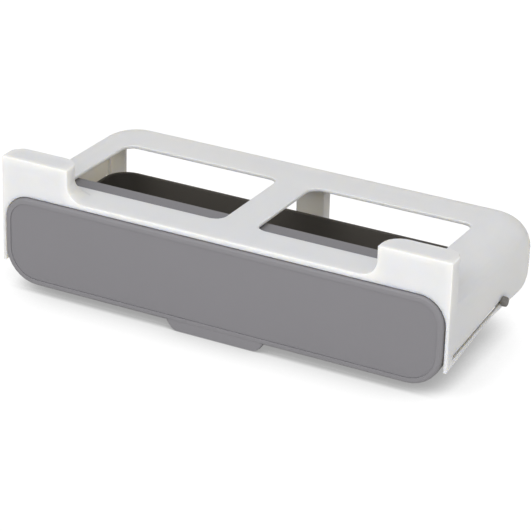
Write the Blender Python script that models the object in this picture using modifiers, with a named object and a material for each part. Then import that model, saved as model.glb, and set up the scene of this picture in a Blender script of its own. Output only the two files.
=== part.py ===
"""Under-shelf spice rack: a white housing that hangs below a shelf, and a drawer that
slides out on runners in the side walls and then drops its front.

Metres, +Z up, the front faces -Y. The origin is the middle of the crossbar's top face,
which lies against the underside of the shelf. Depths are counted from the front face and
heights from the underside of the shelf.
"""

import math

import bmesh
import bpy
from mathutils import Matrix, Vector

# Housing: overall shell
HOUSING_WIDTH = 0.310
HOUSING_DEPTH = 0.145
TOP_PLATE = 0.0024
SIDE_WALL = 0.0024
FRONT_WALL = 0.0024
TOP_EDGE_RADIUS = 0.0185
REAR_CORNER_RADIUS = 0.029

# Housing: the open frame on top
FRONT_BAR = 0.0256
OPENING_LENGTH = 0.0774
CROSSBAR = 0.0234
SIDE_RAIL = 0.0305
OPENING_CORNER = 0.008

# Housing: the raised front corners, which stand in front of the shelf
UPSTAND_RISE = 0.0208
UPSTAND_LENGTH = 0.0480
UPSTAND_DEPTH = 0.018
UPSTAND_CORNER = 0.0095
UPSTAND_INNER_CORNER = 0.0120
UPSTAND_SKIN = 0.0024
UPSTAND_RIB = 0.0020
FOOT_FILLET = 0.011

# Housing: the front opening, in which the drawer front sits
LEG_WIDTH = 0.0021
BEZEL_LIP = 0.0035

# Housing: the rear frame and the lower edge of the side walls
WALL_LENGTH = 0.1262
WALL_HEIGHT = 0.0402
LEG_HEIGHT = 0.0506
FLAT_FROM = 0.064
LOWER_CORNER = 0.0186
FRAME_CORNER = 0.009
REAR_FRAME = 0.0020
REAR_HEADER = 0.0076
REAR_POST = 0.020
REAR_POST_DEPTH = 0.0090
REAR_RETURN = 0.0154
RETURN_LIP = 0.0026
RETURN_SKIN = 0.0046
REAR_SILL = 0.0056
WINDOW_CORNER = 0.003

# Runners in the side walls: a groove inside and a slit through to the outside
RUNNER_SLOPE = math.radians(6.42)
RUNNER_TRAVEL = 0.0655
GROOVE_HEIGHT = 0.0042
GROOVE_DEPTH = 0.0014
SLIT_HEIGHT = 0.0031
RUNNER_END = 0.0012

# Pivot of the tray in its closed place
PIVOT_DEPTH = 0.080
PIVOT_DROP = 0.0355
PIN_DIAMETER = 0.0020
EAR_DIAMETER = 0.0105
EAR_THICKNESS = 0.0026
CAP_DIAMETER = 0.0062
CAP_LENGTH = 0.0034
CAP_FLOOR = 0.0013
CAP_ROUNDING = 0.0011

# Sliders
SLIDER_LENGTH = 0.012
SLIDER_HUB = 0.0090

# Drawer front
PANEL_GAP = 0.0008
PANEL_TOP_GAP = 0.0004
PANEL_HEIGHT = 0.0585
PANEL_CORNER = 0.0170
PANEL_LOWER_CORNER = 0.0225
PANEL_THICKNESS = 0.0055
PANEL_PROUD = 0.0015
PANEL_ROUNDING = 0.0018
RIM_WIDTH = 0.0038
PLATE_THICKNESS = 0.0017
PLATE_SUNK = 0.0004
HOOD_REACH = 0.0410
HOOD_WALL = 0.0022
CHEEK_HEIGHT = 0.0460
CHEEK_FOOT = 0.0110
TAB_WIDTH = 0.0588
TAB_DROP = 0.0060
TAB_FLARE = 0.0044
TAB_THICKNESS = 0.0040

# Tray
TRAY_SIDE_GAP = 0.0079
TRAY_RIM_DROP = 0.0288
TRAY_HEIGHT = 0.0202
TRAY_WALL = 0.0022
TRAY_SETBACK = 0.0090
TRAY_REAR_GAP = 0.0013
TRAY_CORNER = 0.016
TRAY_FRONT_CORNER = 0.0095
TRAY_EDGE = 0.008

# Screws between the tray and the drawer front
SCREW_SPREAD = 0.045
SCREW_INSET = 0.0267
SCREW_HEIGHT = 0.0095
SCREW_SHANK = 0.0029
SCREW_HEAD = 0.0060
SCREW_HEAD_HEIGHT = 0.0018
BOSS_DIAMETER = 0.0076

# Clearances
FIT_GAP = 0.0003
RUN_GAP = 0.0004
CUT_OVER = 0.006

# Facets
ARC_STEPS = 8
FINE_STEPS = 4
ROUND_SIDES = 24

# Worked out from the sizes above
HALF_WIDTH = HOUSING_WIDTH / 2
INNER_HALF = HALF_WIDTH - SIDE_WALL
FRONT = -(FRONT_BAR + OPENING_LENGTH / 2)
REAR = FRONT + HOUSING_DEPTH
UPSTAND_REAR = FRONT + UPSTAND_DEPTH
WALL_END = FRONT + WALL_LENGTH
WALL_BOTTOM = -WALL_HEIGHT
LEG_BOTTOM = -LEG_HEIGHT
REAR_FRAME_FRONT = WALL_END - REAR_FRAME
PIVOT = Vector((0, FRONT + PIVOT_DEPTH, -PIVOT_DROP))
PANEL_HALF = HALF_WIDTH - LEG_WIDTH - PANEL_GAP
PANEL_TOP = -BEZEL_LIP - PANEL_TOP_GAP
PANEL_BOTTOM = PANEL_TOP - PANEL_HEIGHT
PANEL_FACE = FRONT - PANEL_PROUD
PANEL_BACK = PANEL_FACE + PANEL_THICKNESS
RECESS_FLOOR = PANEL_FACE + PLATE_SUNK + PLATE_THICKNESS + FIT_GAP
TRAY_HALF = INNER_HALF - TRAY_SIDE_GAP
TRAY_RIM = -TRAY_RIM_DROP
TRAY_BOTTOM = TRAY_RIM - TRAY_HEIGHT
TRAY_FRONT = FRONT + TRAY_SETBACK
TRAY_REAR = REAR_FRAME_FRONT - TRAY_REAR_GAP
SCREW_AXIS = TRAY_BOTTOM + SCREW_HEIGHT

for old in list(bpy.data.objects):
    bpy.data.objects.remove(old, do_unlink=True)

parts = bpy.data.collections.new("spice_rack")
tools = bpy.data.collections.new("cutters")
bpy.context.scene.collection.children.link(parts)
bpy.context.scene.collection.children.link(tools)


def move_to(obj, collection):
    for user in list(obj.users_collection):
        user.objects.unlink(obj)
    collection.objects.link(obj)
    return obj


def as_tool(obj):
    obj.hide_render = True
    obj.display_type = "WIRE"
    return move_to(obj, tools)


def box(name, low, high):
    """A box between two corners, its place in its mesh."""
    bpy.ops.mesh.primitive_cube_add(size=1)
    obj = bpy.context.object
    obj.name = name
    low, high = Vector(low), Vector(high)
    size = Matrix.Diagonal((*(high - low), 1))
    obj.data.transform(Matrix.Translation((low + high) / 2) @ size)
    return obj


def rod(name, diameter, start, end):
    """A cylinder between two points."""
    start, end = Vector(start), Vector(end)
    bpy.ops.mesh.primitive_cylinder_add(
        vertices=ROUND_SIDES, radius=diameter / 2, depth=(end - start).length
    )
    obj = bpy.context.object
    obj.name = name
    turn = (end - start).to_track_quat("Z", "Y").to_matrix().to_4x4()
    obj.data.transform(Matrix.Translation((start + end) / 2) @ turn)
    return obj


def corner(centre, radius, start, end, steps=ARC_STEPS):
    """Points of an arc, from one angle to another, in degrees."""
    points = []
    for step in range(steps + 1):
        angle = math.radians(start + (end - start) * step / steps)
        points.append((centre[0] + radius * math.cos(angle), centre[1] + radius * math.sin(angle)))
    return points


def rounded_outline(low, high, radii):
    """A rectangle with its own radius at each corner: low-low, high-low, high-high, low-high."""
    centres = ((low[0], low[1]), (high[0], low[1]), (high[0], high[1]), (low[0], high[1]))
    signs = ((1, 1), (-1, 1), (-1, -1), (1, -1))
    points = []
    for index, (centre, sign, radius) in enumerate(zip(centres, signs, radii)):
        middle = (centre[0] + sign[0] * radius, centre[1] + sign[1] * radius)
        points += corner(middle, radius, 180 + 90 * index, 270 + 90 * index) if radius else [centre]
    return points


def prism(name, outline, axis, start, stop):
    """A flat outline pulled along an axis. Its two coordinates are the other two axes, in order."""
    curve = bpy.data.curves.new(name, "CURVE")
    curve.dimensions = "2D"
    curve.fill_mode = "BOTH"
    curve.extrude = (stop - start) / 2
    spline = curve.splines.new("POLY")
    spline.points.add(len(outline) - 1)
    for point, (u, v) in zip(spline.points, outline):
        point.co = (u, v, 0, 1)
    spline.use_cyclic_u = True
    flat = bpy.data.objects.new(name + "_outline", curve)
    bpy.context.scene.collection.objects.link(flat)
    bpy.context.view_layer.update()
    mesh = bpy.data.meshes.new_from_object(flat.evaluated_get(bpy.context.evaluated_depsgraph_get()))
    bpy.data.objects.remove(flat, do_unlink=True)
    shift = Matrix.Translation((0, 0, (start + stop) / 2))
    rows = {
        "X": ((0, 0, 1, 0), (1, 0, 0, 0), (0, 1, 0, 0), (0, 0, 0, 1)),
        "Y": ((1, 0, 0, 0), (0, 0, 1, 0), (0, 1, 0, 0), (0, 0, 0, 1)),
        "Z": ((1, 0, 0, 0), (0, 1, 0, 0), (0, 0, 1, 0), (0, 0, 0, 1)),
    }
    mesh.transform(Matrix(rows[axis]) @ shift)
    work = bmesh.new()
    work.from_mesh(mesh)
    bmesh.ops.remove_doubles(work, verts=work.verts, dist=0.00001)
    bmesh.ops.dissolve_limit(work, angle_limit=0.001, verts=work.verts, edges=work.edges)
    bmesh.ops.recalc_face_normals(work, faces=work.faces)
    work.to_mesh(mesh)
    work.free()
    obj = bpy.data.objects.new(name, mesh)
    bpy.context.scene.collection.objects.link(obj)
    return obj


def swept_section(name, section, start, turning, angle):
    """An X-Z section pulled along Y from start, then turned about a vertical axis."""
    work = bmesh.new()
    face = work.faces.new([work.verts.new((u, start, v)) for u, v in section])
    pulled = bmesh.ops.extrude_face_region(work, geom=[face])["geom"]
    moved = [item for item in pulled if isinstance(item, bmesh.types.BMVert)]
    bmesh.ops.translate(work, verts=moved, vec=(0, turning.y - start, 0))
    bmesh.ops.spin(work, geom=pulled, cent=turning, axis=(0, 0, 1), angle=angle, steps=ARC_STEPS - 1)
    bmesh.ops.recalc_face_normals(work, faces=work.faces)
    mesh = bpy.data.meshes.new(name)
    work.to_mesh(mesh)
    work.free()
    obj = bpy.data.objects.new(name, mesh)
    bpy.context.scene.collection.objects.link(obj)
    return obj


def round_edges(obj, chosen, radius, steps):
    """Rounds the edges for which chosen(first corner, second corner) is true."""
    work = bmesh.new()
    work.from_mesh(obj.data)
    edges = [edge for edge in work.edges if chosen(edge.verts[0].co, edge.verts[1].co)]
    bmesh.ops.bevel(
        work,
        geom=edges,
        offset=radius,
        offset_type="OFFSET",
        segments=steps,
        profile=0.5,
        affect="EDGES",
        clamp_overlap=False,
        material=-1,
    )
    work.to_mesh(obj.data)
    work.free()
    return obj


def near(value, place):
    return abs(value - place) < 0.00005


def combine(target, other, operation):
    """Adds a live Boolean to a piece; the other shape becomes a hidden tool."""
    as_tool(other)
    step = target.modifiers.new(other.name, "BOOLEAN")
    step.operation = operation
    step.solver = "EXACT"
    step.object = other


def cut(target, other):
    combine(target, other, "DIFFERENCE")


def join(target, other):
    combine(target, other, "UNION")


def material(name, colour, roughness, metallic=0.0):
    made = bpy.data.materials.new(name)
    made.use_nodes = True
    shader = made.node_tree.nodes["Principled BSDF"]
    shader.inputs["Base Color"].default_value = (*colour, 1)
    shader.inputs["Roughness"].default_value = roughness
    shader.inputs["Metallic"].default_value = metallic
    return made


def finish_part(obj, name, surface, smooth_angle=35):
    """Names a piece, gives it its material and shades its round faces smooth."""
    obj.name = name
    obj.data.name = name
    obj.data.materials.clear()
    obj.data.materials.append(surface)
    obj.data.shade_smooth()
    obj.data.set_sharp_from_angle(angle=math.radians(smooth_angle))
    return move_to(obj, parts)


white_plastic = material("white_plastic", (0.76, 0.75, 0.73), 0.42)
grey_plastic = material("grey_plastic", (0.215, 0.210, 0.225), 0.50)
charcoal_plastic = material("charcoal_plastic", (0.045, 0.042, 0.038), 0.55)
slider_plastic = material("slider_plastic", (0.30, 0.30, 0.31), 0.40)
cap_plastic = material("cap_plastic", (0.11, 0.11, 0.115), 0.45)
pin_steel = material("pin_steel", (0.62, 0.62, 0.64), 0.28, 1.0)
screw_steel = material("screw_steel", (0.55, 0.55, 0.57), 0.32, 1.0)


def rounded_shell_block(name, low, high, corner_radius, edge_radius):
    """A block with round rear corners and a large round along its side and rear top edges."""
    block = box(name, low, high)
    round_edges(
        block,
        lambda a, b: near(a.x, b.x) and near(a.y, b.y) and near(a.y, high[1]),
        corner_radius,
        ARC_STEPS,
    )
    round_edges(
        block,
        lambda a, b: near(a.z, high[2]) and near(b.z, high[2]) and not (near(a.y, low[1]) and near(b.y, low[1])),
        edge_radius,
        ARC_STEPS,
    )
    return block


# Housing: block, upstands and their feet start in front of the front face and are trimmed to it together
blank_front = FRONT - CUT_OVER
housing = rounded_shell_block(
    "housing",
    (-HALF_WIDTH, blank_front, LEG_BOTTOM - CUT_OVER / 2),
    (HALF_WIDTH, REAR, 0),
    REAR_CORNER_RADIUS,
    TOP_EDGE_RADIUS,
)
cavity = rounded_shell_block(
    "cavity",
    (-INNER_HALF, FRONT + FRONT_WALL, LEG_BOTTOM - CUT_OVER),
    (INNER_HALF, REAR - SIDE_WALL, -TOP_PLATE),
    REAR_CORNER_RADIUS - SIDE_WALL,
    TOP_EDGE_RADIUS - SIDE_WALL,
)

for side, hand in ((-1, "left"), (1, "right")):
    inner_end = HALF_WIDTH - UPSTAND_LENGTH
    ends = sorted((side * inner_end, side * HALF_WIDTH))
    rear_radii = (UPSTAND_INNER_CORNER, UPSTAND_CORNER) if side < 0 else (UPSTAND_CORNER, UPSTAND_INNER_CORNER)
    plan = rounded_outline((ends[0], FRONT - CUT_OVER / 2), (ends[1], UPSTAND_REAR), (0, 0, *rear_radii))
    join(housing, prism(f"upstand_{hand}", plan, "Z", FIT_GAP - TOP_EDGE_RADIUS, UPSTAND_RISE))
    # the hollow fillet at the foot of the upstand's inner side, which ends at its rear face
    turning = Vector((side * (inner_end + UPSTAND_INNER_CORNER), UPSTAND_REAR - UPSTAND_INNER_CORNER, 0))
    fillet = [(side * (inner_end + UPSTAND_SKIN / 2), -TOP_PLATE / 2)]
    fillet += [(side * (inner_end + UPSTAND_SKIN / 2), FOOT_FILLET)]
    arc = corner((inner_end - FOOT_FILLET, FOOT_FILLET), FOOT_FILLET, 0, -90)
    fillet += [(side * u, v) for u, v in arc]
    fillet += [(side * (inner_end - FOOT_FILLET), -TOP_PLATE / 2)]
    foot = swept_section(f"foot_{hand}", fillet, FRONT - CUT_OVER / 3, turning, -side * math.radians(90))
    behind = box(
        f"behind_{hand}",
        (-HALF_WIDTH, UPSTAND_REAR - FIT_GAP, -TOP_PLATE),
        (HALF_WIDTH, UPSTAND_REAR + FRONT_BAR, UPSTAND_RISE),
    )
    cut(foot, behind)
    join(housing, foot)

front_trim = box(
    "front_trim",
    (-HALF_WIDTH - CUT_OVER, FRONT - 2 * CUT_OVER, LEG_BOTTOM - CUT_OVER),
    (HALF_WIDTH + CUT_OVER, FRONT, UPSTAND_RISE + CUT_OVER),
)
cut(housing, front_trim)
cut(housing, cavity)

# pockets that core the upstands out from below, with a rib between them
for side, hand in ((-1, "left"), (1, "right")):
    pocket_start = HALF_WIDTH - UPSTAND_LENGTH + UPSTAND_SKIN
    pocket = (INNER_HALF - FIT_GAP - pocket_start - UPSTAND_RIB) / 2
    for index in range(2):
        start = pocket_start + index * (pocket + UPSTAND_RIB)
        ends = sorted((side * start, side * (start + pocket)))
        round_end = side * (start + pocket) if index else side * start
        low = (ends[0], FRONT + FRONT_WALL + FIT_GAP, -TOP_EDGE_RADIUS)
        high = (ends[1], UPSTAND_REAR - UPSTAND_SKIN, UPSTAND_RISE - UPSTAND_SKIN)
        end_radius = UPSTAND_CORNER if index else UPSTAND_INNER_CORNER
        core = box(f"core_{hand}_{index}", low, high)
        round_edges(
            core,
            lambda a, b: near(a.x, round_end) and near(b.x, round_end) and near(a.y, high[1]) and near(b.y, high[1]),
            end_radius - UPSTAND_SKIN,
            FINE_STEPS,
        )
        cut(housing, core)

# the lower edge of the side walls rises with the runners, then runs level to a large round corner,
# and behind the walls the shell ends where its round rear edge turns down
corner_middle = (WALL_END - LOWER_CORNER, WALL_BOTTOM + LOWER_CORNER)
side_view = [(FRONT - CUT_OVER, LEG_BOTTOM - 2 * CUT_OVER), (FRONT - CUT_OVER, LEG_BOTTOM), (FRONT, LEG_BOTTOM)]
side_view += [(FRONT + FLAT_FROM, WALL_BOTTOM)]
side_view += corner(corner_middle, LOWER_CORNER, -90, 0)
side_view += [
    (WALL_END, -TOP_EDGE_RADIUS),
    (REAR + CUT_OVER, -TOP_EDGE_RADIUS),
    (REAR + CUT_OVER, LEG_BOTTOM - 2 * CUT_OVER),
]
cut(housing, prism("lower_edge", side_view, "X", -HALF_WIDTH - CUT_OVER, HALF_WIDTH + CUT_OVER))

# the rear frame: header, middle post, sill and side returns, whose outer ends have a lip forward to the walls
frame_half = HALF_WIDTH - SIDE_WALL / 2
frame_outline = rounded_outline(
    (-frame_half, WALL_BOTTOM), (frame_half, -TOP_PLATE / 2), (FRAME_CORNER, FRAME_CORNER, 0, 0)
)
rear_frame = prism("rear_frame", frame_outline, "Y", REAR_FRAME_FRONT - RETURN_LIP, WALL_END)
between_lips = box(
    "between_lips",
    (-(HALF_WIDTH - RETURN_SKIN), REAR_FRAME_FRONT - RETURN_LIP - CUT_OVER, WALL_BOTTOM - CUT_OVER),
    (HALF_WIDTH - RETURN_SKIN, REAR_FRAME_FRONT, CUT_OVER),
)
cut(rear_frame, between_lips)
for side, hand in ((-1, "left"), (1, "right")):
    ends = sorted((side * REAR_POST / 2, side * (HALF_WIDTH - REAR_RETURN)))
    radii = (0, WINDOW_CORNER, 0, 0) if side > 0 else (WINDOW_CORNER, 0, 0, 0)
    pane = rounded_outline(
        (ends[0], WALL_BOTTOM + REAR_SILL), (ends[1], -TOP_PLATE - REAR_HEADER), radii
    )
    cut(rear_frame, prism(f"pane_{hand}", pane, "Y", REAR_FRAME_FRONT - CUT_OVER, WALL_END + CUT_OVER))
# the frame's ends follow the round corners of the shell
frame_limit = rounded_shell_block(
    "frame_limit",
    (-frame_half, FRONT, WALL_BOTTOM - CUT_OVER),
    (frame_half, REAR - SIDE_WALL / 2, -TOP_PLATE / 2),
    REAR_CORNER_RADIUS - SIDE_WALL / 2,
    TOP_EDGE_RADIUS - SIDE_WALL / 2,
)
combine(rear_frame, frame_limit, "INTERSECT")
post = box(
    "post",
    (-REAR_POST / 2, (REAR_FRAME_FRONT + WALL_END) / 2, WALL_BOTTOM),
    (REAR_POST / 2, REAR_FRAME_FRONT + REAR_POST_DEPTH, -TOP_PLATE / 2),
)
join(rear_frame, post)
join(housing, rear_frame)

# the openings of the top frame
for side, hand in ((-1, "left"), (1, "right")):
    ends = sorted((side * CROSSBAR / 2, side * (HALF_WIDTH - SIDE_RAIL)))
    outline = rounded_outline(
        (ends[0], FRONT + FRONT_BAR), (ends[1], FRONT + FRONT_BAR + OPENING_LENGTH), [OPENING_CORNER] * 4
    )
    cut(housing, prism(f"top_opening_{hand}", outline, "Z", -TOP_PLATE - CUT_OVER, CUT_OVER))

# the front opening follows the outline of the drawer front
opening_half = HALF_WIDTH - LEG_WIDTH
front_outline = rounded_outline(
    (-opening_half, LEG_BOTTOM - CUT_OVER),
    (opening_half, -BEZEL_LIP),
    (0, 0, PANEL_CORNER + PANEL_GAP, PANEL_CORNER + PANEL_GAP),
)
cut(housing, prism("front_opening", front_outline, "Y", FRONT - CUT_OVER, FRONT + FRONT_WALL + FIT_GAP))

# the runner in each side wall: an inner groove for the slider and a slit for its pin
along_runner = Matrix.Translation(PIVOT) @ Matrix.Rotation(RUNNER_SLOPE, 4, "X")
groove_ends = (-RUNNER_TRAVEL - SLIDER_LENGTH / 2 - RUNNER_END, SLIDER_LENGTH / 2 + RUN_GAP)
slit_ends = (-RUNNER_TRAVEL - SLIDER_LENGTH / 2, PIN_DIAMETER / 2 + RUN_GAP)
for side, hand in ((-1, "left"), (1, "right")):
    inside = side * (INNER_HALF - CUT_OVER)
    ends = sorted((inside, side * (INNER_HALF + GROOVE_DEPTH)))
    groove = box(
        f"groove_{hand}",
        (ends[0], groove_ends[0], -GROOVE_HEIGHT / 2),
        (ends[1], groove_ends[1], GROOVE_HEIGHT / 2),
    )
    groove.data.transform(along_runner)
    cut(housing, groove)
    ends = sorted((inside, side * (HALF_WIDTH + CUT_OVER)))
    slit = box(
        f"slit_{hand}", (ends[0], slit_ends[0], -SLIT_HEIGHT / 2), (ends[1], slit_ends[1], SLIT_HEIGHT / 2)
    )
    slit.data.transform(along_runner)
    cut(housing, slit)
finish_part(housing, "housing", white_plastic)

# Drawer front: panel with a rolled rim, hood and cheeks behind it, and the pull tab
panel_outline = rounded_outline(
    (-PANEL_HALF, PANEL_BOTTOM), (PANEL_HALF, PANEL_TOP), [PANEL_LOWER_CORNER] * 2 + [PANEL_CORNER] * 2
)
hood_back = PANEL_BACK + HOOD_REACH
drawer_front = prism("drawer_front", panel_outline, "Y", PANEL_FACE, hood_back)
round_edges(
    drawer_front, lambda a, b: near(a.y, PANEL_FACE) and near(b.y, PANEL_FACE), PANEL_ROUNDING, FINE_STEPS
)
hollow = rounded_outline(
    (-PANEL_HALF + HOOD_WALL, PANEL_BOTTOM - CUT_OVER),
    (PANEL_HALF - HOOD_WALL, PANEL_TOP - HOOD_WALL),
    (0, 0, PANEL_CORNER - HOOD_WALL, PANEL_CORNER - HOOD_WALL),
)
cut(drawer_front, prism("hood_hollow", hollow, "Y", PANEL_BACK, hood_back + CUT_OVER))
# the cheeks slope forward towards their feet, and a narrow step is left round the panel below them
below_cheek = PANEL_BACK + FIT_GAP
cheek_cut = [
    (PANEL_BACK + CHEEK_FOOT, PANEL_TOP - CHEEK_HEIGHT),
    (hood_back, PANEL_TOP - PANEL_CORNER / 2),
    (hood_back + CUT_OVER, PANEL_TOP - PANEL_CORNER / 2),
    (hood_back + CUT_OVER, PANEL_BOTTOM - CUT_OVER),
    (below_cheek, PANEL_BOTTOM - CUT_OVER),
    (below_cheek, PANEL_TOP - CHEEK_HEIGHT),
]
cut(drawer_front, prism("cheek_cut", cheek_cut, "X", -HALF_WIDTH - CUT_OVER, HALF_WIDTH + CUT_OVER))
tab_outline = [
    (-TAB_WIDTH / 2 - TAB_FLARE, PANEL_BOTTOM + PANEL_ROUNDING),
    (-TAB_WIDTH / 2 - TAB_FLARE, PANEL_BOTTOM),
    (-TAB_WIDTH / 2, PANEL_BOTTOM - TAB_DROP),
    (TAB_WIDTH / 2, PANEL_BOTTOM - TAB_DROP),
    (TAB_WIDTH / 2 + TAB_FLARE, PANEL_BOTTOM),
    (TAB_WIDTH / 2 + TAB_FLARE, PANEL_BOTTOM + PANEL_ROUNDING),
]
tab_face = PANEL_FACE + FIT_GAP
tab = prism("tab", tab_outline, "Y", tab_face, tab_face + TAB_THICKNESS)
round_edges(
    tab,
    lambda a, b: near(a.x, b.x) and near(a.z, b.z) and near(a.z, PANEL_BOTTOM - TAB_DROP),
    TAB_DROP / 2,
    FINE_STEPS,
)
join(drawer_front, tab)
recess_outline = rounded_outline(
    (-PANEL_HALF + RIM_WIDTH, PANEL_BOTTOM + RIM_WIDTH),
    (PANEL_HALF - RIM_WIDTH, PANEL_TOP - RIM_WIDTH),
    [PANEL_LOWER_CORNER - RIM_WIDTH] * 2 + [PANEL_CORNER - RIM_WIDTH] * 2,
)
cut(drawer_front, prism("recess", recess_outline, "Y", PANEL_FACE - CUT_OVER, RECESS_FLOOR))

screw_places = []
for spread in (SCREW_SPREAD, TRAY_HALF - SCREW_INSET):
    screw_places += [-spread, spread]
boss_end = TRAY_FRONT - FIT_GAP
for index, place in enumerate(screw_places):
    boss_root = (PANEL_BACK + RECESS_FLOOR) / 2
    join(
        drawer_front,
        rod(f"boss_{index}", BOSS_DIAMETER, (place, boss_root, SCREW_AXIS), (place, boss_end, SCREW_AXIS)),
    )
for index, place in enumerate(screw_places):
    hole_end = (place, (PANEL_BACK + RECESS_FLOOR) / 2, SCREW_AXIS)
    cut(
        drawer_front,
        rod(f"boss_hole_{index}", SCREW_SHANK + 2 * FIT_GAP, hole_end, (place, boss_end + CUT_OVER, SCREW_AXIS)),
    )
finish_part(drawer_front, "drawer_front", grey_plastic)

# Face plate: the flat field inside the rim
plate_inset = RIM_WIDTH + FIT_GAP
plate_outline = rounded_outline(
    (-PANEL_HALF + plate_inset, PANEL_BOTTOM + plate_inset),
    (PANEL_HALF - plate_inset, PANEL_TOP - plate_inset),
    [PANEL_LOWER_CORNER - plate_inset] * 2 + [PANEL_CORNER - plate_inset] * 2,
)
plate_face = PANEL_FACE + PLATE_SUNK
face_plate = prism("face_plate", plate_outline, "Y", plate_face, plate_face + PLATE_THICKNESS)
finish_part(face_plate, "face_plate", grey_plastic)

# Tray: an open moulding with round corners and a round lower edge
tray = box("tray", (-TRAY_HALF, TRAY_FRONT, TRAY_BOTTOM), (TRAY_HALF, TRAY_REAR, TRAY_RIM))
for edge, radius in ((TRAY_REAR, TRAY_CORNER), (TRAY_FRONT, TRAY_FRONT_CORNER)):
    round_edges(
        tray, lambda a, b: near(a.x, b.x) and near(a.y, b.y) and near(a.y, edge), radius, ARC_STEPS
    )
round_edges(
    tray, lambda a, b: near(a.z, TRAY_BOTTOM) and near(b.z, TRAY_BOTTOM), TRAY_EDGE, FINE_STEPS + 1
)
shape = bmesh.new()
shape.from_mesh(tray.data)
lids = [face for face in shape.faces if all(near(vert.co.z, TRAY_RIM) for vert in face.verts)]
bmesh.ops.delete(shape, geom=lids, context="FACES")
shape.to_mesh(tray.data)
shape.free()
walls = tray.modifiers.new("walls", "SOLIDIFY")
walls.thickness = TRAY_WALL
walls.offset = -1
walls.use_even_offset = True

ear_outer = TRAY_HALF + EAR_THICKNESS
for side, hand in ((-1, "left"), (1, "right")):
    at = Vector((0, PIVOT.y, PIVOT.z))
    start = at + Vector((side * (TRAY_HALF - TRAY_WALL / 2), 0, 0))
    end = at + Vector((side * ear_outer, 0, 0))
    join(tray, rod(f"ear_{hand}", EAR_DIAMETER, start, end))
for side, hand in ((-1, "left"), (1, "right")):
    start = PIVOT + Vector((side * (TRAY_HALF - TRAY_WALL - CUT_OVER), 0, 0))
    end = PIVOT + Vector((side * (ear_outer + CUT_OVER), 0, 0))
    cut(tray, rod(f"ear_bore_{hand}", PIN_DIAMETER + 2 * FIT_GAP, start, end))
for index, place in enumerate(screw_places):
    start = (place, TRAY_FRONT - CUT_OVER, SCREW_AXIS)
    end = (place, TRAY_FRONT + TRAY_WALL + CUT_OVER / 2, SCREW_AXIS)
    cut(tray, rod(f"screw_hole_{index}", SCREW_SHANK + 2 * FIT_GAP, start, end))
finish_part(tray, "tray", charcoal_plastic)

# Sliders: a hub beside the tray's ear and a shoe that reaches into the groove
hub_start = ear_outer + RUN_GAP
hub_end = INNER_HALF - RUN_GAP
shoe_start = (hub_start + hub_end) / 2
shoe_end = INNER_HALF + GROOVE_DEPTH - RUN_GAP
shoe_height = GROOVE_HEIGHT - 2 * RUN_GAP
for side, hand in ((-1, "left"), (1, "right")):
    across = Vector((side, 0, 0))
    slider = rod(f"slider_{hand}", SLIDER_HUB, PIVOT + across * hub_start, PIVOT + across * hub_end)
    ends = sorted((side * shoe_start, side * shoe_end))
    shoe = box(
        f"shoe_{hand}",
        (ends[0], -SLIDER_LENGTH / 2, -shoe_height / 2),
        (ends[1], SLIDER_LENGTH / 2, shoe_height / 2),
    )
    round_edges(shoe, lambda a, b: near(a.y, b.y) and near(a.z, b.z), shoe_height * 0.48, FINE_STEPS)
    shoe.data.transform(along_runner)
    join(slider, shoe)
    bore = rod(
        f"hub_bore_{hand}",
        PIN_DIAMETER + 2 * FIT_GAP,
        PIVOT + across * (hub_start - CUT_OVER),
        PIVOT + across * (shoe_end + CUT_OVER),
    )
    cut(slider, bore)
    finish_part(slider, f"slider_{hand}", slider_plastic)

# Pivot pins: from the inside of the tray, through ear, slider and slit, to the caps outside
cap_start = HALF_WIDTH + RUN_GAP
cap_end = cap_start + CAP_LENGTH
pin_end = cap_end - CAP_FLOOR - FIT_GAP
for side, hand in ((-1, "left"), (1, "right")):
    across = Vector((side, 0, 0))
    pin = rod(f"pivot_pin_{hand}", PIN_DIAMETER, PIVOT + across * (TRAY_HALF - TRAY_WALL), PIVOT + across * pin_end)
    finish_part(pin, f"pivot_pin_{hand}", pin_steel)

# Pin caps: round caps on the ends of the pins, outside the walls
for side, hand in ((-1, "left"), (1, "right")):
    across = Vector((side, 0, 0))
    cap = rod(f"pin_cap_{hand}", CAP_DIAMETER, PIVOT + across * cap_start, PIVOT + across * cap_end)
    face = side * cap_end
    round_edges(cap, lambda a, b: near(a.x, face) and near(b.x, face), CAP_ROUNDING, FINE_STEPS)
    bore = rod(
        f"cap_bore_{hand}",
        PIN_DIAMETER + 2 * FIT_GAP,
        PIVOT + across * (cap_start - CUT_OVER),
        PIVOT + across * (cap_end - CAP_FLOOR),
    )
    cut(cap, bore)
    finish_part(cap, f"pin_cap_{hand}", cap_plastic)

# Drawer screws: pan-head screws, from inside the tray into the bosses
head_start = TRAY_FRONT + TRAY_WALL + FIT_GAP
head_end = head_start + SCREW_HEAD_HEIGHT
shank_end = (PANEL_BACK + RECESS_FLOOR) / 2 + FIT_GAP
for index, place in enumerate(screw_places):
    screw = rod(f"head_{index}", SCREW_HEAD, (place, head_start, SCREW_AXIS), (place, head_end, SCREW_AXIS))
    round_edges(
        screw, lambda a, b: near(a.y, head_end) and near(b.y, head_end), SCREW_HEAD_HEIGHT * 0.4, FINE_STEPS - 1
    )
    shank = rod(
        f"shank_{index}",
        SCREW_SHANK,
        (place, shank_end, SCREW_AXIS),
        (place, (head_start + head_end) / 2, SCREW_AXIS),
    )
    join(screw, shank)
    finish_part(screw, f"drawer_screw_{index + 1}", screw_steel)
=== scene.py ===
import math

import bmesh
import bpy
from mathutils import Matrix, Vector
from mathutils.bvhtree import BVHTree


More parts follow.
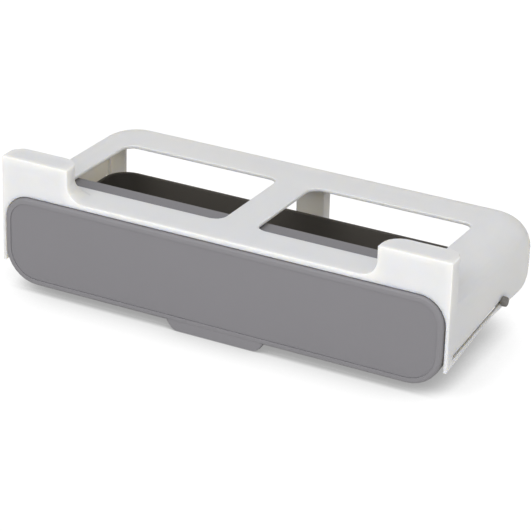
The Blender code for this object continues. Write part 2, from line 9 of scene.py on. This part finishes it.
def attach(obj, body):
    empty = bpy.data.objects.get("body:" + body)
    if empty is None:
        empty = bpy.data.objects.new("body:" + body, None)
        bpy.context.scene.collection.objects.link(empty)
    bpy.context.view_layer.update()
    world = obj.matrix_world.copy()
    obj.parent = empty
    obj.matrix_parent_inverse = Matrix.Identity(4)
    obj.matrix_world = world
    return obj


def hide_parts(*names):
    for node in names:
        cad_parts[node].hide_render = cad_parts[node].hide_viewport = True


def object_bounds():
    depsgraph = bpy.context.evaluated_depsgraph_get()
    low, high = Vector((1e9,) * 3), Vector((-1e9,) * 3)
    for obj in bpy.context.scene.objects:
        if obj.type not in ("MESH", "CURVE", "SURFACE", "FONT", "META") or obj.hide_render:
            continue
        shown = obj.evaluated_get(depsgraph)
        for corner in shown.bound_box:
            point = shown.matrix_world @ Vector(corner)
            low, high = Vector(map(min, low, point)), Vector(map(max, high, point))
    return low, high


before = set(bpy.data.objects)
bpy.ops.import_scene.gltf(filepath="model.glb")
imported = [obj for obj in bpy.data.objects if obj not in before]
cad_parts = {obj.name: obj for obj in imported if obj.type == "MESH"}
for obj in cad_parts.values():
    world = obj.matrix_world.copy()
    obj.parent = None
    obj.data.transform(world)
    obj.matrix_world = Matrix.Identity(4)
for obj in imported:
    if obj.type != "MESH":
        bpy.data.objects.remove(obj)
cad_low, cad_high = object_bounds()

# Studio: the rack stands free on a plain white table, under soft light from the front and above.
# The table shows white to the camera, with the rack's shadow painted onto it from ambient
# occlusion.
camera = bpy.data.objects.new("camera", bpy.data.cameras.new("camera"))
bpy.context.scene.collection.objects.link(camera)
bpy.context.scene.camera = camera
camera.data.lens = 167.4
camera.data.sensor_width = 36
camera_turn = math.radians(27.60)
camera_tilt = math.radians(24.75)
camera_roll = math.radians(-1.64)
ahead = Vector((
    -math.sin(camera_turn) * math.cos(camera_tilt),
    math.cos(camera_turn) * math.cos(camera_tilt),
    -math.sin(camera_tilt),
))
level = Vector((math.cos(camera_turn), math.sin(camera_turn), 0))
below = ahead.cross(level)
rightward = level * math.cos(camera_roll) + below * math.sin(camera_roll)
downward = below * math.cos(camera_roll) - level * math.sin(camera_roll)
camera_place = Matrix((rightward, -downward, -ahead)).transposed().to_4x4()
camera_place.translation = (0.6564, -1.2554, 0.6101)
camera.matrix_world = camera_place


def lamp(name, place, aim, size, watts):
    """A square white area lamp turned towards a point."""
    light = bpy.data.lights.new(name, "AREA")
    light.size = size
    light.energy = watts
    holder = bpy.data.objects.new(name, light)
    bpy.context.scene.collection.objects.link(holder)
    holder.location = place
    holder.rotation_euler = (Vector(aim) - Vector(place)).to_track_quat("-Z", "Y").to_euler()


lamp("key_softbox", (-0.25, -1.70, 1.00), (0, 0, 0), 1.4, 12.2)
lamp("fill_softbox", (1.30, -1.25, 0.50), (0, 0, 0), 1.0, 5.8)
lamp("top_softbox", (0.00, -0.58, 0.92), (0, -0.03, 0), 1.0, 3.9)

world = bpy.data.worlds.new("studio")
bpy.context.scene.world = world
world.use_nodes = True
sky = world.node_tree.nodes
sky_links = world.node_tree.links
ambient = sky["Background"]
ambient.inputs["Color"].default_value = (1.0, 0.995, 0.985, 1)
ambient.inputs["Strength"].default_value = 0.56
white_sky = sky.new("ShaderNodeBackground")
white_sky.inputs["Color"].default_value = (1, 1, 1, 1)
white_sky.inputs["Strength"].default_value = 1
sky_ray = sky.new("ShaderNodeLightPath")
sky_choice = sky.new("ShaderNodeMixShader")
sky_links.new(sky_ray.outputs["Is Camera Ray"], sky_choice.inputs[0])
sky_links.new(ambient.outputs[0], sky_choice.inputs[1])
sky_links.new(white_sky.outputs[0], sky_choice.inputs[2])
sky_links.new(sky_choice.outputs[0], sky["World Output"].inputs["Surface"])

table_size = 14
table_gap = 0.0002
bpy.ops.mesh.primitive_plane_add(size=table_size, location=(0, 0, cad_low[2] - table_gap))
table = bpy.context.object
table.name = "table"
table_white = bpy.data.materials.new("table_white")
table_white.use_nodes = True
table_nodes = table_white.node_tree.nodes
table_links = table_white.node_tree.links
table_nodes.remove(table_nodes["Principled BSDF"])
table_matt = table_nodes.new("ShaderNodeBsdfDiffuse")
table_matt.inputs["Color"].default_value = (0.86, 0.85, 0.83, 1)
# Painted shadow: the table's glow seen by the camera dims where ambient occlusion finds the rack
# close by.
table_painted_shadow_occlusion = table_nodes.new("ShaderNodeAmbientOcclusion")
table_painted_shadow_occlusion.samples = 24
table_painted_shadow_occlusion.inputs["Distance"].default_value = 0.06
table_shade = table_nodes.new("ShaderNodeMapRange")
table_shade.interpolation_type = "SMOOTHSTEP"
table_shade.inputs["From Min"].default_value = 0.15
table_shade.inputs["From Max"].default_value = 0.82
table_shade.inputs["To Min"].default_value = 0.35
table_shade.inputs["To Max"].default_value = 1.05
table_seen = table_nodes.new("ShaderNodeEmission")
table_ray = table_nodes.new("ShaderNodeLightPath")
table_choice = table_nodes.new("ShaderNodeMixShader")
table_links.new(table_painted_shadow_occlusion.outputs["AO"], table_shade.inputs["Value"])
table_links.new(table_shade.outputs["Result"], table_seen.inputs["Strength"])
table_links.new(table_ray.outputs["Is Camera Ray"], table_choice.inputs[0])
table_links.new(table_matt.outputs[0], table_choice.inputs[1])
table_links.new(table_seen.outputs[0], table_choice.inputs[2])
table_links.new(table_choice.outputs[0], table_nodes["Material Output"].inputs["Surface"])
table.data.materials.append(table_white)
bpy.context.scene.view_settings.view_transform = "Standard"

# Housing: one injection moulding in white polypropylene with a fine spark-eroded grain.
# Its edges are all broken by a small round, and the middle post is cored out from behind.
# It hangs below the shelf on its flat top frame.


def shaded_piece(work, name):
    """The finished mesh as an object, shaded smooth across its rounds and flat on its faces."""
    mesh = bpy.data.meshes.new(name)
    work.to_mesh(mesh)
    work.free()
    piece = bpy.data.objects.new(name, mesh)
    bpy.context.scene.collection.objects.link(piece)
    mesh.shade_smooth()
    mesh.set_sharp_from_angle(angle=math.radians(40))
    shading = piece.modifiers.new("even_shading", "WEIGHTED_NORMAL")
    shading.keep_sharp = True
    shading.weight = 100
    return piece


same_point = 0.00001
nearly_same_point = 0.00002
flat_angle = math.radians(0.4)
sharp_angle = math.radians(28)


def refined_copy(node, name, rounding, steps, larger=(), spare=None, settle=None, carve=None):
    """The CAD node's own shape as a new piece, with its sharp edges rounded.

    larger holds pairs of a radius and a test of an edge's two ends; those edges come first.
    spare is a test of the edges that stay as they are.
    settle mends the solid's mesh before that, where two of its faces nearly meet.
    carve works on the merged faces before they are rounded.
    A corner that a round would throw clear of the faces it came from is laid back on them."""
    work = bmesh.new()
    work.from_mesh(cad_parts[node].data)
    bmesh.ops.remove_doubles(work, verts=work.verts, dist=same_point)
    if settle:
        settle(work)
    bmesh.ops.remove_doubles(work, verts=work.verts, dist=nearly_same_point)
    bmesh.ops.dissolve_degenerate(work, dist=same_point, edges=work.edges)
    bmesh.ops.dissolve_limit(work, angle_limit=flat_angle, verts=work.verts, edges=work.edges)
    if carve:
        carve(work)
    bmesh.ops.triangulate(work, faces=work.faces, quad_method="BEAUTY", ngon_method="BEAUTY")
    before = BVHTree.FromBMesh(work)
    for radius, chosen in (*larger, (rounding, lambda a, b: True)):
        sharp = [
            edge for edge in work.edges
            if len(edge.link_faces) == 2
            and edge.calc_face_angle() > sharp_angle
            and chosen(edge.verts[0].co, edge.verts[1].co)
            and not (spare and spare(edge.verts[0].co, edge.verts[1].co))
        ]
        bmesh.ops.bevel(
            work, geom=sharp, offset=radius, offset_type="OFFSET", segments=steps, profile=0.5,
            affect="EDGES", clamp_overlap=False, loop_slide=True, material=-1,
        )
    reach = 0.5 * max(radius for radius, _ in (*larger, (rounding, None)))
    for vert in work.verts:
        nearest, _, _, distance = before.find_nearest(vert.co)
        if distance > reach:
            vert.co = nearest
    return shaded_piece(work, name)


def moulded_plastic(name, colour, roughness, grain, grain_depth, mottle, glow=0.0):
    """Injection-moulded plastic: a fine grain in the surface and faint uneven colour."""
    made = bpy.data.materials.new(name)
    made.use_nodes = True
    nodes = made.node_tree.nodes
    links = made.node_tree.links
    shader = nodes["Principled BSDF"]
    where = nodes.new("ShaderNodeTexCoord").outputs["Object"]
    fine = nodes.new("ShaderNodeTexNoise")
    fine.inputs["Scale"].default_value = 1 / grain
    fine.inputs["Detail"].default_value = 3
    broad = nodes.new("ShaderNodeTexNoise")
    broad.inputs["Scale"].default_value = 38
    broad.inputs["Detail"].default_value = 4
    for texture in (fine, broad):
        links.new(where, texture.inputs["Vector"])
    tint = nodes.new("ShaderNodeMix")
    tint.data_type = "RGBA"
    tint.inputs["A"].default_value = (*[c * (1 - mottle) for c in colour], 1)
    tint.inputs["B"].default_value = (*[min(1, c * (1 + mottle)) for c in colour], 1)
    links.new(broad.outputs["Fac"], tint.inputs["Factor"])
    links.new(tint.outputs["Result"], shader.inputs["Base Color"])
    gloss = nodes.new("ShaderNodeMapRange")
    gloss.inputs["To Min"].default_value = roughness - 0.06
    gloss.inputs["To Max"].default_value = roughness + 0.08
    links.new(broad.outputs["Fac"], gloss.inputs["Value"])
    links.new(gloss.outputs["Result"], shader.inputs["Roughness"])
    relief = nodes.new("ShaderNodeBump")
    relief.inputs["Strength"].default_value = 0.35
    relief.inputs["Distance"].default_value = grain_depth
    links.new(fine.outputs["Fac"], relief.inputs["Height"])
    links.new(relief.outputs["Normal"], shader.inputs["Normal"])
    shader.inputs["Subsurface Weight"].default_value = glow
    shader.inputs["Subsurface Radius"].default_value = (1.0, 0.90, 0.68)
    shader.inputs["Subsurface Scale"].default_value = 0.0080
    return made


half_width = 0.155
round_start = -0.0185
ledge_end = -0.0555
foot_top = 0.011
corner_rear = -0.0583
post_half = 0.010
post_rear = 0.0689
post_top = -0.00129
post_wall = 0.0019
post_hollow = 0.0069


def flush_sides(work):
    """Closes hairline ledges below the raised corners' outer faces and on the middle post."""
    on_sides = [face for face in work.faces if abs(face.calc_center_median().x) > 0.150]
    around = set(on_sides)
    for face in on_sides:
        around.update(face.edges)
        around.update(face.verts)
    bmesh.ops.bisect_plane(
        work, geom=list(around), dist=0.000001, plane_co=(0, ledge_end, 0), plane_no=(0, 1, 0)
    )
    for vert in work.verts:
        at = vert.co
        at_side = abs(at.x) > half_width - 0.0001 and at.y < ledge_end + 0.00001
        if at_side and round_start - 0.0001 < at.z < round_start + 0.0004:
            at.x = math.copysign(half_width, at.x)
            at.z = round_start
        at_post = abs(abs(at.x) - post_half) < 0.0001 and abs(at.y - post_rear) < 0.0001
        if at_post and at.z > post_top + 0.00004:
            at.z = post_top


def on_foot_ledge(a, b):
    """The hairline ledge where a raised corner's flared foot begins, round its inner rear side."""
    return all(abs(end.z - foot_top) < 0.00001 and end.y > corner_rear for end in (a, b))


def core_out_post(work):
    """The middle post is a channel, open at the back, as thick as the other walls."""
    back = max(
        (
            face for face in work.faces
            if face.normal.y > 0.99
            and abs(face.calc_center_median().x) < 0.002
            and abs(face.calc_center_median().y - post_rear) < 0.0001
        ),
        key=lambda face: face.calc_area(),
    )
    bmesh.ops.inset_individual(work, faces=[back], thickness=post_wall, use_even_offset=True)
    for vert in back.verts:
        vert.co.y -= post_hollow


housing = refined_copy(
    "housing", "housing_shell", 0.0005, 4,
    spare=on_foot_ledge, settle=flush_sides, carve=core_out_post,
)
housing.data.materials.append(moulded_plastic(
    "white_polypropylene", (0.83, 0.81, 0.78), 0.44, 0.0005, 0.00003, 0.012, glow=1.0
))
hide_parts("housing")
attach(housing, "housing")

# Drawer front: a mid-grey moulding with a round outer edge and a rim round the sunk plate.
# The hood behind its upper edge reaches back under the front bar, and the pull tab hangs below.
rim_inside = 0.1484
rim_low = -0.0587
rim_high = -0.0076
tab_end = 0.0338
tab_top = -0.0624


def off_seat_and_tab_ends(a, b):
    """Every edge but those of the plate's shallow seat and the tab's short upper ends."""
    middle = (a + b) / 2
    in_seat = abs(middle.x) < rim_inside and rim_low < middle.z < rim_high and middle.y < -0.0630
    at_tab_end = abs(abs(middle.x) - tab_end) < 0.0001 and middle.z > tab_top - 0.0001
    return not (in_seat or at_tab_end)


front = refined_copy(
    "drawer_front", "drawer_front_moulding", 0.00012, 3, larger=((0.0005, off_seat_and_tab_ends),)
)
front.data.materials.append(
    moulded_plastic("grey_plastic_fine", (0.206, 0.202, 0.217), 0.48, 0.0004, 0.00003, 0.02)
)
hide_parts("drawer_front")
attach(front, "drawer")

# Face plate: a flat grey plate pressed into the rim, almost without a gap.
# It is the same plastic as the drawer front, with a slightly duller surface.
plate_middle = (rim_low + rim_high) / 2
plate_growth = 0.0002


def fill_the_seat(work):
    """Widens the plate until a fine line is left between it and the rim."""
    for vert in work.verts:
        vert.co.x += math.copysign(plate_growth, vert.co.x)
        vert.co.z += math.copysign(plate_growth, vert.co.z - plate_middle)


plate = refined_copy("face_plate", "face_plate_inlay", 0.00012, 2, settle=fill_the_seat)
plate.data.materials.append(
    moulded_plastic("grey_plate_fine", (0.193, 0.189, 0.204), 0.52, 0.0004, 0.00003, 0.02)
)
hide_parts("face_plate")
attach(plate, "drawer")

# Tray: a charcoal moulding that holds the jars, with thin walls and round lower edges.
# Its two ears take the pivot pins, and the drawer front is screwed on from inside.
tray = refined_copy("tray", "tray_moulding", 0.0006, 3)
tray.data.materials.append(
    moulded_plastic("charcoal_plastic_fine", (0.098, 0.090, 0.079), 0.50, 0.0004, 0.00003, 0.03)
)
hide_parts("tray")
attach(tray, "drawer")

# Sliders: two grey acetal shoes, each a round hub beside the tray with a tongue in the groove.
# They carry the drawer along the side walls as it is pulled out.
slider_plastic = moulded_plastic("slider_acetal", (0.30, 0.30, 0.31), 0.36, 0.0003, 0.00002, 0.02)
for side in ("left", "right"):
    slider = refined_copy(f"slider_{side}", f"slider_shoe_{side}", 0.0003, 3)
    slider.data.materials.append(slider_plastic)
    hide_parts(f"slider_{side}")
    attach(slider, "sliders")

# Pin caps: two small round caps of dark grey plastic on the outer ends of the pivot pins.
# They run along the outside of the slits in the side walls and keep the pins in.
cap_plastic = moulded_plastic(
    "cap_plastic_fine", (0.170, 0.162, 0.155), 0.46, 0.0003, 0.00002, 0.03
)
for side in ("left", "right"):
    cap = refined_copy(f"pin_cap_{side}", f"pin_cap_round_{side}", 0.0003, 3)
    cap.data.materials.append(cap_plastic)
    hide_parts(f"pin_cap_{side}")
    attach(cap, "sliders")
# Pivot pins: two drawn steel wires, 2 mm thick, that pass through the tray's ears and the sliders.
# The drawer turns on them when its front drops.


def bright_steel(name, colour, roughness, along):
    """Steel with fine marks that run along one axis, and a faint uneven sheen."""
    made = bpy.data.materials.new(name)
    made.use_nodes = True
    nodes = made.node_tree.nodes
    links = made.node_tree.links
    shader = nodes["Principled BSDF"]
    shader.inputs["Metallic"].default_value = 1
    stretch = nodes.new("ShaderNodeMapping")
    stretch.inputs["Scale"].default_value = along
    marks = nodes.new("ShaderNodeTexNoise")
    marks.inputs["Scale"].default_value = 1
    marks.inputs["Detail"].default_value = 4
    links.new(nodes.new("ShaderNodeTexCoord").outputs["Object"], stretch.inputs["Vector"])
    links.new(stretch.outputs["Vector"], marks.inputs["Vector"])
    tint = nodes.new("ShaderNodeMix")
    tint.data_type = "RGBA"
    tint.inputs["A"].default_value = (*[c * 0.9 for c in colour], 1)
    tint.inputs["B"].default_value = (*[min(1, c * 1.1) for c in colour], 1)
    gloss = nodes.new("ShaderNodeMapRange")
    gloss.inputs["To Min"].default_value = roughness - 0.08
    gloss.inputs["To Max"].default_value = roughness + 0.10
    relief = nodes.new("ShaderNodeBump")
    relief.inputs["Strength"].default_value = 0.3
    relief.inputs["Distance"].default_value = 0.00002
    for socket in (tint.inputs["Factor"], gloss.inputs["Value"], relief.inputs["Height"]):
        links.new(marks.outputs["Fac"], socket)
    links.new(tint.outputs["Result"], shader.inputs["Base Color"])
    links.new(gloss.outputs["Result"], shader.inputs["Roughness"])
    links.new(relief.outputs["Normal"], shader.inputs["Normal"])
    return made


pin_steel = bright_steel("drawn_pin_steel", (0.62, 0.62, 0.64), 0.26, (300, 6000, 6000))
for side in ("left", "right"):
    pin = refined_copy(f"pivot_pin_{side}", f"pivot_pin_wire_{side}", 0.00015, 2)
    pin.data.materials.append(pin_steel)
    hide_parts(f"pivot_pin_{side}")
    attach(pin, "sliders")
# Drawer screws: four zinc-plated pan head screws with a cross recess.
# They are driven in from inside the tray and hold the drawer front's bosses against its front wall.
head_dome = 0.0009
cross_arm = 0.00155
cross_width = 0.00072
cross_depth = 0.0008
cross_taper = 0.6


def cross_head_screw(node, name):
    """The CAD screw with a domed head and a cross pressed into it."""
    work = bmesh.new()
    work.from_mesh(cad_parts[node].data)
    bmesh.ops.remove_doubles(work, verts=work.verts, dist=nearly_same_point)
    bmesh.ops.dissolve_limit(work, angle_limit=flat_angle, verts=work.verts, edges=work.edges)
    rear = max(vert.co.y for vert in work.verts)
    rim = [
        edge for edge in work.edges
        if all(abs(vert.co.y - rear) < same_point for vert in edge.verts)
    ]
    bmesh.ops.bevel(
        work, geom=rim, offset=head_dome, offset_type="OFFSET", segments=5, profile=0.5,
        affect="EDGES", clamp_overlap=False, loop_slide=True, material=-1,
    )
    crown = max(
        work.faces,
        key=lambda face: (round(face.calc_center_median().y, 5), face.calc_area()),
    )
    middle = crown.calc_center_median()
    outline = list(crown.edges)
    bmesh.ops.delete(work, geom=[crown], context="FACES_ONLY")
    half = cross_width / 2
    quarter = ((-half, cross_arm), (half, cross_arm), (half, half))
    turned = [[(x, z), (z, -x), (-x, -z), (-z, x)] for x, z in quarter]
    cross = [
        work.verts.new(middle + Vector((spot[turn][0], 0, spot[turn][1])))
        for turn in range(4) for spot in turned
    ]
    outline += [work.edges.new((cross[i - 1], cross[i])) for i in range(len(cross))]
    bmesh.ops.triangle_fill(work, edges=outline, use_beauty=True, normal=(0, 1, 0))
    floor = work.faces.get(cross) or work.faces.new(cross)
    sunk = bmesh.ops.extrude_discrete_faces(work, faces=[floor])["faces"][0]
    for vert in sunk.verts:
        vert.co = middle + (vert.co - middle) * cross_taper - Vector((0, cross_depth, 0))
    bmesh.ops.recalc_face_normals(work, faces=work.faces)
    return shaded_piece(work, name)


screw_steel = bright_steel("zinc_screw_steel", (0.55, 0.55, 0.57), 0.34, (900, 900, 900))
for number in range(1, 5):
    screw = cross_head_screw(f"drawer_screw_{number}", f"cross_head_screw_{number}")
    screw.data.materials.append(screw_steel)
    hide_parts(f"drawer_screw_{number}")
    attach(screw, "drawer")
